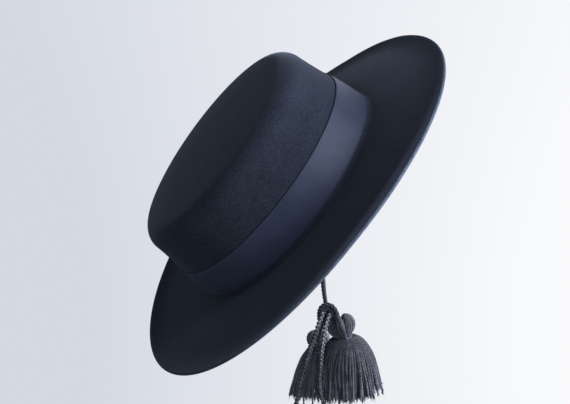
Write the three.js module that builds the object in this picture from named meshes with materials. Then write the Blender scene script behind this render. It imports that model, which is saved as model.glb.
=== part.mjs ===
// A flat-crowned felt hat with a ribbon band and a tasselled chin cord, in millimetres, +Z up.
// It leans back as it is worn: +X is the wearer's front, +Y the wearer's left, and the origin is
// the middle of the head opening. Inside the hat's own group +Z runs up the crown's axis.
import * as THREE from 'three';

// How the hat sits
const leanBack = 51.2;

// Felt crown and brim, all of one piece
const feltThickness = 2.6;
const crownHeight = 79.5;
const shoulderRadius = 15.5;
const filletRadius = 3.4;
const brimHalfLength = 174.4;
const brimHalfWidth = 160.1;
const brimShift = -2.3;
const brimFrontNarrowing = 0.03;
const brimEdgeHeight = { front: -14.9, side: 1.6, rear: 5.3 };
const brimCurve = 1.25;
const edgeRollDrop = 2.5;
const edgeRollStart = 0.8;
const brimReaches = [0, 0.2, 0.42, 0.62, 0.8, 0.92, 1];
const topShares = [0.45, 0.8];
const shoulderTurns = [90, 67.5, 45, 22.5, 0];
const filletTurns = [35, 65];
const edgeTurns = [45, 90, 135];
const turnStep = 0.01;

// Outer face of the crown's wall: half axes of its oval, and how far its middle lies to the front
const crownSections = [
  { height: 0, halfLength: 104, halfWidth: 86.7, shift: 0 },
  { height: 33.5, halfLength: 100.8, halfWidth: 83.8, shift: -1.7 },
  { height: 64, halfLength: 96.6, halfWidth: 80.3, shift: -3.6 },
  { height: 79.5, halfLength: 95, halfWidth: 78.8, shift: -4.4 },
];

// Ribbon band
const ribbonWidth = 30;
const ribbonThickness = 0.9;
const ribbonFootHeight = 3.6;

// Cords
const gap = 0.3;
const chinCordDiameter = 3.2;
const hangerDiameter = 2.8;
const cordSides = 8;
const endKnotShare = 0.7;

// Tabs that hold the ends of the chin cord inside the crown
const tabWidth = 9;
const tabLength = 10;
const tabThickness = 3.9;
const tabFootHeight = 3.5;
const tabCorner = 0.45;
const tabFromMiddle = 79.1;
const tabForward = -0.6;
const tabWallLean = 3.6;

// The knot that gathers the chin cord, the tassels and the free ends
const knot = { x: 8, y: -82, z: -77.6, halfWidth: 7.2, halfDepth: 5.5, halfHeight: 5 };

const hatColumns = 64;
const tasselColumns = 20;

const cloth = (color, roughness) => new THREE.MeshStandardMaterial({ color, roughness, metalness: 0 });
const feltMaterial = cloth(0x23272f, 0.95);
const ribbonMaterial = cloth(0x343b4c, 0.6);
const cordMaterial = cloth(0x3a3d48, 0.8);
const yarnMaterial = cloth(0x34363f, 0.9);

const radians = THREE.MathUtils.degToRad;

function namedMesh(name, geometry, material) {
  geometry.computeVertexNormals();
  const mesh = new THREE.Mesh(geometry, material);
  mesh.name = name;
  return mesh;
}

// A lathe whose rows are then pressed out of round: place(row, angle) gives each point
function pressedLathe(rows, columns, place) {
  const profile = rows.map((row, index) => new THREE.Vector2(1, index));
  const geometry = new THREE.LatheGeometry(profile, columns);
  const position = geometry.attributes.position;
  for (let column = 0; column <= columns; column += 1) {
    const angle = ((column % columns) / columns) * 2 * Math.PI;
    rows.forEach((row, index) => {
      const point = place(row, angle);
      position.setXYZ(column * rows.length + index, point.x, point.y, point.z);
    });
  }
  return geometry;
}

// Oval of the crown's outer face at a height, between the rows of crownSections
function crownOval(height) {
  const upper = Math.max(1, crownSections.findIndex((row) => row.height >= height));
  const low = crownSections[upper - 1];
  const high = crownSections[upper];
  const share = (height - low.height) / (high.height - low.height);
  return {
    halfLength: THREE.MathUtils.lerp(low.halfLength, high.halfLength, share),
    halfWidth: THREE.MathUtils.lerp(low.halfWidth, high.halfWidth, share),
    shift: THREE.MathUtils.lerp(low.shift, high.shift, share),
  };
}

function crownPoint(height, inset, angle) {
  const oval = crownOval(height);
  const x = oval.shift + (oval.halfLength - inset) * Math.cos(angle);
  const y = (oval.halfWidth - inset) * Math.sin(angle);
  return new THREE.Vector3(x, y, height);
}

// Upper face of the brim: reach is 0 where the fillet ends and 1 at the edge
function brimPoint(reach, angle) {
  const base = crownSections[0];
  const forward = Math.cos(angle);
  const halfLength = THREE.MathUtils.lerp(base.halfLength + filletRadius, brimHalfLength, reach);
  const halfWidth = THREE.MathUtils.lerp(base.halfWidth + filletRadius, brimHalfWidth, reach);
  const along = (brimEdgeHeight.front + brimEdgeHeight.rear) / 2;
  const tip = (brimEdgeHeight.front - brimEdgeHeight.rear) / 2;
  const across = brimEdgeHeight.side * (1 - forward ** 2);
  const edgeHeight = across + along * forward ** 2 + tip * forward;
  const roll = Math.max(0, (reach - edgeRollStart) / (1 - edgeRollStart)) ** 2;
  return new THREE.Vector3(
    brimShift * reach + halfLength * forward,
    halfWidth * Math.sin(angle) * (1 - brimFrontNarrowing * reach * forward),
    (edgeHeight + edgeRollDrop) * reach ** brimCurve - edgeRollDrop * roll,
  );
}

// Outer face of the felt from the middle of the crown's top to the brim's edge
function feltRows() {
  const top = crownOval(crownHeight);
  const flatLength = top.halfLength - shoulderRadius;
  const flatWidth = top.halfWidth - shoulderRadius;
  const rows = [{ at: () => new THREE.Vector3(top.shift, 0, crownHeight), pole: true }];
  for (const share of topShares) {
    rows.push({
      at: (angle) => new THREE.Vector3(
        top.shift + share * flatLength * Math.cos(angle),
        share * flatWidth * Math.sin(angle),
        crownHeight,
      ),
    });
  }
  for (const turn of shoulderTurns) {
    const height = crownHeight - shoulderRadius * (1 - Math.sin(radians(turn)));
    const inset = shoulderRadius * (1 - Math.cos(radians(turn)));
    rows.push({ at: (angle) => crownPoint(height, inset, angle) });
  }
  for (const height of [crownSections[1].height, filletRadius]) {
    rows.push({ at: (angle) => crownPoint(height, 0, angle) });
  }
  for (const turn of filletTurns) {
    const height = filletRadius * (1 - Math.sin(radians(turn)));
    const inset = -filletRadius * (1 - Math.cos(radians(turn)));
    rows.push({ at: (angle) => crownPoint(height, inset, angle) });
  }
  for (const reach of brimReaches) {
    rows.push({ at: (angle) => brimPoint(reach, angle) });
  }
  return rows;
}

function feltCrownAndBrim() {
  const outer = feltRows();
  const last = outer.length - 1;

  // Directions at a point of the outer face: out along the profile, and square to the felt
  function directions(index, angle) {
    const before = outer[Math.max(0, index - 1)].at(angle);
    const after = outer[Math.min(last, index + 1)].at(angle);
    const outward = after.sub(before).normalize();
    if (outer[index].pole) return { outward, normal: new THREE.Vector3(0, 0, 1) };
    const around = outer[index].at(angle + turnStep).sub(outer[index].at(angle - turnStep));
    return { outward, normal: outward.clone().cross(around).normalize() };
  }
  const outerFace = outer.map((row) => ({ place: (angle) => row.at(angle) }));
  const roundedEdge = edgeTurns.map((turn) => ({
    place: (angle) => {
      const { outward, normal } = directions(last, angle);
      const lift = (Math.cos(radians(turn)) - 1) * feltThickness / 2;
      const out = Math.sin(radians(turn)) * feltThickness / 2;
      return outer[last].at(angle).addScaledVector(normal, lift).addScaledVector(outward, out);
    },
  }));
  const innerFace = outer.map((row, index) => ({
    place: (angle) => row.at(angle).addScaledVector(directions(index, angle).normal, -feltThickness),
  })).reverse();
  const rows = [...outerFace, ...roundedEdge, ...innerFace].reverse();
  return pressedLathe(rows, hatColumns, (row, angle) => row.place(angle));
}

// A band of ribbon round the crown's foot, just clear of the felt
function ribbonBand() {
  const foot = ribbonFootHeight;
  const head = ribbonFootHeight + ribbonWidth;
  const inner = -gap;
  const outer = -gap - ribbonThickness;
  const middle = (foot + head) / 2;
  const rows = [
    { height: foot, inset: inner },
    { height: foot, inset: outer },
    { height: middle, inset: outer },
    { height: head, inset: outer },
    { height: head, inset: inner },
    { height: middle, inset: inner },
    { height: foot, inset: inner },
  ];
  return pressedLathe(rows, hatColumns, (row, angle) => crownPoint(row.height, row.inset, angle));
}

// A folded tab, flat against the felt and rounded inwards; side is 1 on the left and -1 on the right
function cordTab(side) {
  const half = tabWidth / 2;
  const flatHalf = half * tabCorner;
  const flatDepth = tabThickness * tabCorner;
  const shape = new THREE.Shape();
  shape.moveTo(-half, tabThickness);
  shape.lineTo(-half, flatDepth);
  shape.quadraticCurveTo(-half, 0, -flatHalf, 0);
  shape.lineTo(flatHalf, 0);
  shape.quadraticCurveTo(half, 0, half, flatDepth);
  shape.lineTo(half, tabThickness);
  shape.closePath();
  const settings = { depth: tabLength, bevelEnabled: false, curveSegments: 4 };
  const geometry = new THREE.ExtrudeGeometry(shape, settings);
  const tab = namedMesh(side > 0 ? 'cord_tab_left' : 'cord_tab_right', geometry, cordMaterial);
  if (side < 0) tab.rotation.z = Math.PI;
  const lean = new THREE.Group();
  lean.rotation.x = side * radians(tabWallLean);
  lean.position.set(tabForward, side * tabFromMiddle, tabFootHeight);
  lean.add(tab);
  return lean;
}

// A round cord along hand-placed points
function cordTube(points, diameter, steps) {
  const curve = new THREE.CatmullRomCurve3(points.map((point) => new THREE.Vector3(...point)));
  const section = new THREE.Shape();
  for (let side = 0; side < cordSides; side += 1) {
    const angle = (side / cordSides) * 2 * Math.PI;
    const x = (diameter / 2) * Math.cos(angle);
    const y = (diameter / 2) * Math.sin(angle);
    if (side === 0) section.moveTo(x, y);
    else section.lineTo(x, y);
  }
  section.closePath();
  return new THREE.ExtrudeGeometry(section, { steps, extrudePath: curve, bevelEnabled: false });
}

// Routes of the cords, each point as [x, y, z]: the chin cord falls from the right tab to the knot,
// then sags under the opening and climbs to the left tab
const chinCords = [
  {
    name: 'chin_cord_right',
    steps: 10,
    route: [
      [-0.6, -81.5, 3], [0, -81.6, -8], [0.6, -81.7, -19], [1.3, -81.8, -30],
      [2, -81.9, -41], [2.9, -82, -52], [4.2, -82, -63], [5.8, -82, -72.3],
    ],
  },
  {
    name: 'chin_cord_left',
    steps: 28,
    route: [
      [9.5, -76.3, -79.2], [13.2, -65, -82.5], [16.4, -55, -84.3], [19.5, -45, -85.7],
      [23.4, -33, -86.7], [27.5, -20, -86.5], [30.8, -10, -85.1], [33.9, 0, -82.2], [36, 11, -77.3],
      [36.3, 22, -70.7], [34.3, 33, -62.6], [30.3, 43, -53.8], [25, 52, -44.8], [19.1, 60, -35.6],
      [13, 67.5, -26], [7.3, 74, -16.2], [2.4, 79.3, -6.6], [-0.4, 81.2, 2.6],
    ],
  },
];
const braidedEnds = [
  {
    name: 'braided_end_long',
    diameter: 4.2,
    steps: 14,
    route: [
      [2.2, -87.2, -79.3], [0.5, -87.9, -82], [-1, -87.6, -86], [-2.3, -86.4, -91], [-3.8, -85.3, -97.2],
      [-5.7, -84.6, -103.4], [-7.5, -84.2, -108.4], [-8.9, -84, -113.3], [-10.3, -84, -117.7],
      [-11.6, -84, -122.6], [-13.1, -84, -127.9], [-14.7, -84, -133.2], [-16.3, -84, -140.6],
      [-17.9, -84, -148.8], [-19.5, -84, -157.5],
    ],
  },
  {
    name: 'braided_end_short',
    diameter: 3.6,
    steps: 14,
    route: [
      [6.8, -89.1, -79.2], [5.3, -90.8, -82], [3.2, -92, -86], [1, -93, -91.1], [-0.7, -93.6, -96.3],
      [-1.8, -94.2, -101.6], [-2.5, -94.8, -107], [-3, -95.3, -114.2], [-3.1, -95.5, -121.6],
      [-3.3, -95.5, -129.1], [-3.1, -95.5, -135.8], [-2.3, -95.5, -141.8], [-1, -95.5, -147],
      [1.2, -95.5, -153.5],
    ],
  },
];

// Tassels: a bundle of yarn with a round head, tied at the neck, that flares into a skirt.
// The head's middle and the skirt's rows are measured from the neck, the rows downwards.
const tassels = [
  {
    name: 'front_tassel',
    neck: [18.5, -88, -99.3],
    head: { x: -2.5, z: 10.1, halfWidth: 11.3, halfDepth: 8, halfHeight: 8.3 },
    skirt: [
      { drop: 3.4, left: -10, right: 13, halfDepth: 9 },
      { drop: 8.7, left: -14, right: 20, halfDepth: 12.5 },
      { drop: 18.6, left: -16.5, right: 24.5, halfDepth: 14.5 },
      { drop: 32, left: -17, right: 29, halfDepth: 16 },
      { drop: 49, left: -17, right: 35, halfDepth: 17 },
    ],
    hanger: [
      [12.4, -87.7, -78.2], [12.3, -92.5, -79.8], [13.2, -97, -84.3],
      [14.8, -98.2, -89.5], [16.3, -96.7, -94], [17.3, -95.3, -97.2],
    ],
  },
  {
    name: 'rear_tassel',
    neck: [6.5, -60, -118],
    head: { x: 0.3, z: 8.5, halfWidth: 8.6, halfDepth: 7, halfHeight: 6.8 },
    skirt: [
      { drop: 3.6, left: -9.5, right: 9.5, halfDepth: 8 },
      { drop: 8.7, left: -13.5, right: 13, halfDepth: 10.5 },
      { drop: 18.6, left: -18, right: 16.5, halfDepth: 12.5 },
      { drop: 29.5, left: -21.5, right: 18, halfDepth: 14 },
      { drop: 39, left: -23.5, right: 19, halfDepth: 15 },
    ],
    hanger: [[2.7, -78.4, -81.2], [3.3, -73, -87], [4.6, -67, -94.5], [6, -61.4, -102]],
  },
];
const neckRadius = 5.6;
const bindingHeight = 3.5;
const bindingThickness = 1.4;
const bindingEdgeShare = 0.7;
const headTurns = [25, 50, 75, 100, 125, 145];
const hangerSteps = 8;

function tasselYarn({ head, skirt }) {
  const rows = [{ x: head.x, z: head.z + head.halfHeight, halfWidth: 0, halfDepth: 0 }];
  for (const turn of headTurns) {
    const size = Math.sin(radians(turn));
    const z = head.z + head.halfHeight * Math.cos(radians(turn));
    rows.push({ x: head.x, z, halfWidth: head.halfWidth * size, halfDepth: head.halfDepth * size });
  }
  for (const z of [bindingHeight / 2 + gap, -bindingHeight / 2 - gap]) {
    rows.push({ x: 0, z, halfWidth: neckRadius, halfDepth: neckRadius });
  }
  for (const { drop, left, right, halfDepth } of skirt) {
    rows.push({ x: (left + right) / 2, z: -drop, halfWidth: (right - left) / 2, halfDepth });
  }
  const hem = rows[rows.length - 1];
  rows.push({ x: hem.x, z: hem.z, halfWidth: 0, halfDepth: 0 });
  return pressedLathe(rows.reverse(), tasselColumns, (row, angle) => new THREE.Vector3(
    row.x + row.halfWidth * Math.cos(angle),
    row.halfDepth * Math.sin(angle),
    row.z,
  ));
}

function tasselBinding() {
  const inner = neckRadius + gap;
  const outer = inner + bindingThickness;
  const middle = (inner + outer) / 2;
  const half = bindingHeight / 2;
  const edge = half * bindingEdgeShare;
  const rows = [
    { radius: inner, z: edge },
    { radius: inner, z: -edge },
    { radius: middle, z: -half },
    { radius: outer, z: 0 },
    { radius: middle, z: half },
    { radius: inner, z: edge },
  ];
  return pressedLathe(rows, tasselColumns, (row, angle) => new THREE.Vector3(
    row.radius * Math.cos(angle),
    row.radius * Math.sin(angle),
    row.z,
  ));
}

function tassel(spec) {
  const group = new THREE.Group();
  const cord = cordTube(spec.hanger, hangerDiameter, hangerSteps);
  const yarn = namedMesh(`${spec.name}_yarn`, tasselYarn(spec), yarnMaterial);
  const binding = namedMesh(`${spec.name}_binding`, tasselBinding(), cordMaterial);
  yarn.position.set(...spec.neck);
  binding.position.set(...spec.neck);
  group.add(yarn, binding, namedMesh(`${spec.name}_hanger`, cord, cordMaterial));
  return group;
}

function cordKnot() {
  const geometry = new THREE.SphereGeometry(1, 16, 10);
  geometry.rotateX(Math.PI / 2);
  geometry.scale(knot.halfWidth, knot.halfDepth, knot.halfHeight);
  const mesh = namedMesh('cord_knot', geometry, cordMaterial);
  mesh.position.set(knot.x, knot.y, knot.z);
  return mesh;
}

// A free end of flat braid with the small knot that keeps it from fraying
function braidedEnd({ name, diameter, steps, route }) {
  const group = new THREE.Group();
  group.add(namedMesh(name, cordTube(route, diameter, steps), cordMaterial));
  const radius = diameter * endKnotShare;
  const end = namedMesh(`${name}_knot`, new THREE.SphereGeometry(radius, 12, 8), cordMaterial);
  const tip = new THREE.Vector3(...route[route.length - 1]);
  const way = tip.clone().sub(new THREE.Vector3(...route[route.length - 2])).normalize();
  end.position.copy(tip.addScaledVector(way, radius + gap));
  group.add(end);
  return group;
}

const hat = new THREE.Group();
const felt = new THREE.Group();
felt.rotation.y = -radians(leanBack);
felt.add(namedMesh('felt_crown_and_brim', feltCrownAndBrim(), feltMaterial));
felt.add(namedMesh('ribbon_band', ribbonBand(), ribbonMaterial));
hat.add(felt);
hat.add(cordTab(-1), cordTab(1));
for (const { name, steps, route } of chinCords) {
  hat.add(namedMesh(name, cordTube(route, chinCordDiameter, steps), cordMaterial));
}
hat.add(cordKnot());
for (const end of braidedEnds) hat.add(braidedEnd(end));
for (const spec of tassels) hat.add(tassel(spec));

export default hat;
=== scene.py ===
"""The looks of a felt hat with a ribbon band and a tasselled chin cord.

Lengths are in metres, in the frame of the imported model: +Z is up as the hat is worn, +X points to
the wearer's front and +Y to the wearer's left. The hat leans back, so its felt and ribbon are made
in the hat's own frame, whose +Z runs up the crown's axis, and are then turned into place.
"""

import logging
import math
from dataclasses import dataclass, field
from enum import Enum

import bmesh
import bpy
import numpy as np
from mathutils import Matrix, Vector


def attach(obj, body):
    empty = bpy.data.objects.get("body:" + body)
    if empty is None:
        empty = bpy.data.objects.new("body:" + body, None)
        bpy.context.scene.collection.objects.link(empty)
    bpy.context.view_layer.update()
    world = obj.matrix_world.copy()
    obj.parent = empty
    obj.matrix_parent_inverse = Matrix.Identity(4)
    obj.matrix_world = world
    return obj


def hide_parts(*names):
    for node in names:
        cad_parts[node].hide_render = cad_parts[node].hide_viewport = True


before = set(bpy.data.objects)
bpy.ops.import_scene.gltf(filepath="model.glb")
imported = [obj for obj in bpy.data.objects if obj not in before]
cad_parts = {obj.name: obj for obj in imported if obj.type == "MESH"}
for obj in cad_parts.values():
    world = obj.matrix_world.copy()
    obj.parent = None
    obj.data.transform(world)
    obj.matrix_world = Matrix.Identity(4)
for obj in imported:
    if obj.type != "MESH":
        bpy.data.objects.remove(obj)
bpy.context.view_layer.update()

LOG = logging.getLogger("hat")
MM = 0.001
FULL_TURN = 2 * math.pi
LEAN_BACK = math.radians(51.2)
ROOT = "root"
TINY = 1e-12
FINE_POINTS = 200
STEPS_BETWEEN_POINTS = 24
WEARERS_RIGHT = (0.0, -1.0, 0.0)
LEANING = Matrix.Rotation(-LEAN_BACK, 3, "Y")


class Slot(Enum):
    """The record's material slots."""

    FELT = "felt"
    RIBBON = "ribbon"
    TAB = "tab"
    CORD = "cord"
    BRAID = "braid"
    YARN = "yarn"


def millimetres(*rows) -> np.ndarray:
    """Turns rows of numbers in millimetres into an array in metres.

    Args:
        *rows: points, or rows of sizes, in millimetres.

    Returns:
        The same rows in metres.
    """
    return np.array(rows, float) * MM


def unit(vectors: np.ndarray) -> np.ndarray:
    """Scales vectors to a length of one, along the last axis."""
    return vectors / np.maximum(np.linalg.norm(vectors, axis=-1, keepdims=True), TINY)


def smooth_line(points: np.ndarray, count: int) -> np.ndarray:
    """Draws a smooth line through points and spaces it evenly.

    Args:
        points: the points that it passes through, one in each row, with any number of columns.
        count: how many points to give back.

    Returns:
        The evenly spaced points of the line.
    """
    ends = 2 * points[0] - points[1], 2 * points[-1] - points[-2]
    padded = np.vstack([ends[0], points, ends[1]])
    knots = np.cumsum([0.0, *np.sqrt(np.linalg.norm(np.diff(padded, axis=0), axis=1))])
    slope = np.diff(padded, axis=0) / np.diff(knots)[:, None]
    wide = (padded[2:] - padded[:-2]) / (knots[2:] - knots[:-2])[:, None]
    tangent = slope[1:] + slope[:-1] - wide
    share = np.linspace(0, 1, STEPS_BETWEEN_POINTS, endpoint=False)[:, None]
    spans = []
    for index in range(len(points) - 1):
        start, end = points[index], points[index + 1]
        stretch = knots[index + 2] - knots[index + 1]
        spans.append(
            (2 * share**3 - 3 * share**2 + 1) * start
            + (share**3 - 2 * share**2 + share) * stretch * tangent[index]
            + (3 * share**2 - 2 * share**3) * end
            + (share**3 - share**2) * stretch * tangent[index + 1]
        )
    dense = np.vstack([*spans, points[-1:]])
    along = np.cumsum([0.0, *np.linalg.norm(np.diff(dense, axis=0), axis=1)])
    wanted = np.linspace(0, along[-1], count)
    return np.column_stack([np.interp(wanted, along, column) for column in dense.T])


def line_length(line: np.ndarray) -> float:
    """Measures a line, in metres."""
    return float(np.linalg.norm(np.diff(line, axis=0), axis=1).sum())


def carried_frames(lines: np.ndarray, facing: np.ndarray) -> tuple[np.ndarray, np.ndarray]:
    """Carries a direction along lines without twisting it.

    Args:
        lines: lines x points x 3.
        facing: the direction that the first side of each line looks in.

    Returns:
        Two directions square to the lines and to each other, each lines x points x 3.
    """
    tangent = unit(np.gradient(lines, axis=1))
    first = np.empty_like(lines)
    side = np.broadcast_to(facing, lines[:, 0].shape).astype(float)
    for step in range(lines.shape[1]):
        along = tangent[:, step]
        side = unit(side - (side * along).sum(axis=1, keepdims=True) * along)
        first[:, step] = side
    return first, np.cross(tangent, first)


def twisted_plies(line: np.ndarray, plies: int, radius: float, pitch: float) -> np.ndarray:
    """Winds the middle lines of plies round a line.

    Args:
        line: the cord's own middle line.
        plies: how many plies it has.
        radius: how far each ply's middle lies from it.
        pitch: the length of one turn.

    Returns:
        The plies' middle lines, plies x points x 3.
    """
    first, second = (side[0] for side in carried_frames(line[None], np.array(WEARERS_RIGHT)))
    along = np.linspace(0, line_length(line), len(line))[:, None]
    turns = [FULL_TURN * (along / pitch + ply / plies) for ply in range(plies)]
    return np.array([line + radius * (np.cos(t) * first + np.sin(t) * second) for t in turns])


def helix(centre: np.ndarray, radius: float, height: float, turns: float, count: int) -> np.ndarray:
    """Winds a line round an upright axis.

    Args:
        centre: the middle of the coil.
        radius: the coil's radius.
        height: from the first point down to the last.
        turns: how many turns it takes.
        count: how many points to give back.

    Returns:
        The points of the line.
    """
    share = np.linspace(0, 1, count)
    angle = FULL_TURN * turns * share
    level = height * (0.5 - share)
    return centre + np.column_stack([radius * np.cos(angle), radius * np.sin(angle), level])


@dataclass
class Tube:
    """A closed tube that is made once and then laid along any number of lines."""

    sides: int
    steps: int
    turn_between_lines: float = 2.4

    def __post_init__(self) -> None:
        """Builds the tube and notes where each vertex lies on it."""
        bm = bmesh.new()
        bmesh.ops.create_cone(
            bm, cap_ends=True, cap_tris=False, segments=self.sides, radius1=1, radius2=1, depth=1
        )
        upright = [e for e in bm.edges if abs(e.verts[0].co.z - e.verts[1].co.z) > 0.5]
        bmesh.ops.subdivide_edges(bm, edges=upright, cuts=self.steps - 1)
        bmesh.ops.recalc_face_normals(bm, faces=bm.faces)
        bm.loops.layers.uv.new("UVMap")
        bm.verts.layers.float.new("shade")
        self.form = bpy.data.meshes.new("tube_form")
        bm.to_mesh(self.form)
        bm.free()
        places = np.array([v.co for v in self.form.vertices])
        self.ring = np.rint((places[:, 2] + 0.5) * self.steps).astype(int)
        self.angle = np.arctan2(places[:, 1], places[:, 0]) % FULL_TURN
        corners = np.array([loop.vertex_index for loop in self.form.loops])
        around = self.angle[corners] / FULL_TURN
        for face in self.form.polygons:
            ends = slice(face.loop_start, face.loop_start + face.loop_total)
            if face.loop_total == 4 and np.ptp(around[ends]) > 0.5:
                around[ends] += around[ends] < 0.5
        self.corners, self.around = corners, around

    def lay(
        self,
        name: str,
        lines: np.ndarray,
        radius: np.ndarray | float,
        lobes: int = 0,
        relief: float = 0.0,
        pitch: float = 1.0,
        shade: np.ndarray | None = None,
        facing: tuple = WEARERS_RIGHT,
    ) -> bpy.types.Mesh:
        """Lays one tube along each line.

        Args:
            name: the mesh's name.
            lines: lines x (steps + 1) x 3.
            radius: one radius, or lines x (steps + 1) of them.
            lobes: how many plies show round the section.
            relief: how far they stand out, as a share of the radius.
            pitch: the length in which they turn once round.
            shade: how light each line, or each of its points, is: about 0 for dark, 1 for light.
            facing: the direction that the tubes' first side looks in.

        Returns:
            The finished mesh.
        """
        count = len(lines)
        first, second = carried_frames(lines, np.array(facing, float))
        along = np.cumsum(
            np.pad(np.linalg.norm(np.diff(lines, axis=1), axis=2), ((0, 0), (1, 0))), axis=1
        )
        size = np.broadcast_to(radius, lines.shape[:2])[:, self.ring]
        size = size * (1 + relief * np.cos(lobes * self.angle)) if lobes else size
        turned = FULL_TURN * along[:, self.ring] / pitch
        turned = turned + self.turn_between_lines * np.arange(count)[:, None]
        turned = self.angle + turned * (lobes > 0)
        places = lines[:, self.ring] + size[..., None] * (
            np.cos(turned)[..., None] * first[:, self.ring]
            + np.sin(turned)[..., None] * second[:, self.ring]
        )
        bm = bmesh.new()
        for _ in range(count):
            bm.from_mesh(self.form)
        mesh = bpy.data.meshes.new(name)
        bm.to_mesh(mesh)
        bm.free()
        mesh.vertices.foreach_set("co", places.ravel())
        uv = np.empty((count, len(self.corners), 2))
        uv[..., 0] = self.around
        uv[..., 1] = along[:, self.ring[self.corners]]
        mesh.uv_layers["UVMap"].data.foreach_set("uv", uv.ravel())
        shades = np.full((count, 1), 0.5) if shade is None else shade
        shades = shades if shades.ndim == 2 else shades[:, None]
        shades = np.broadcast_to(shades, lines.shape[:2])[:, self.ring]
        mesh.attributes["shade"].data.foreach_set("value", shades.astype(np.float32).ravel())
        mesh.update()
        return mesh


def joined(name: str, meshes: list[bpy.types.Mesh]) -> bpy.types.Mesh:
    """Joins meshes into one.

    Args:
        name: the new mesh's name.
        meshes: the meshes, which are removed.

    Returns:
        The new mesh.
    """
    bm = bmesh.new()
    for mesh in meshes:
        bm.from_mesh(mesh)
        bpy.data.meshes.remove(mesh)
    made = bpy.data.meshes.new(name)
    bm.to_mesh(made)
    bm.free()
    return made


def full_spin(bm: bmesh.types.BMesh, steps: int) -> None:
    """Spins all that a mesh holds once round the upright axis, and closes the seam.

    Args:
        bm: the mesh.
        steps: how many steps there are in the turn.
    """
    bmesh.ops.spin(
        bm,
        geom=bm.verts[:] + bm.edges[:],
        cent=(0, 0, 0),
        axis=(0, 0, 1),
        dvec=(0, 0, 0),
        angle=FULL_TURN,
        steps=steps,
        use_merge=True,
    )


def rounded(bm: bmesh.types.BMesh, edges: list, offset: float, segments: int) -> None:
    """Rounds edges of a mesh.

    Args:
        bm: the mesh.
        edges: the edges.
        offset: how far from each edge the rounding starts.
        segments: how many strips it has.
    """
    bmesh.ops.bevel(
        bm,
        geom=edges,
        offset=offset,
        segments=segments,
        profile=0.5,
        affect="EDGES",
        material=-1,
    )


def finished_piece(
    name: str,
    mesh: bpy.types.Mesh,
    material: bpy.types.Material,
    nodes: tuple[str, ...] = (),
) -> bpy.types.Object:
    """Puts a mesh in the scene as a piece of the hat.

    Args:
        name: the piece's name.
        mesh: its mesh, in the row frame.
        material: its finish.
        nodes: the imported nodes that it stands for.

    Returns:
        The new object.
    """
    mesh.name = name
    mesh.materials.append(material)
    mesh.shade_smooth()
    piece = bpy.data.objects.new(name, mesh)
    bpy.context.scene.collection.objects.link(piece)
    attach(piece, ROOT)
    if nodes:
        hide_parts(*nodes)
    triangles = sum(len(face.vertices) - 2 for face in mesh.polygons)
    LOG.info("%s: %d triangles", name, triangles)
    return piece


Value = bpy.types.NodeSocket | float | tuple


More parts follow.
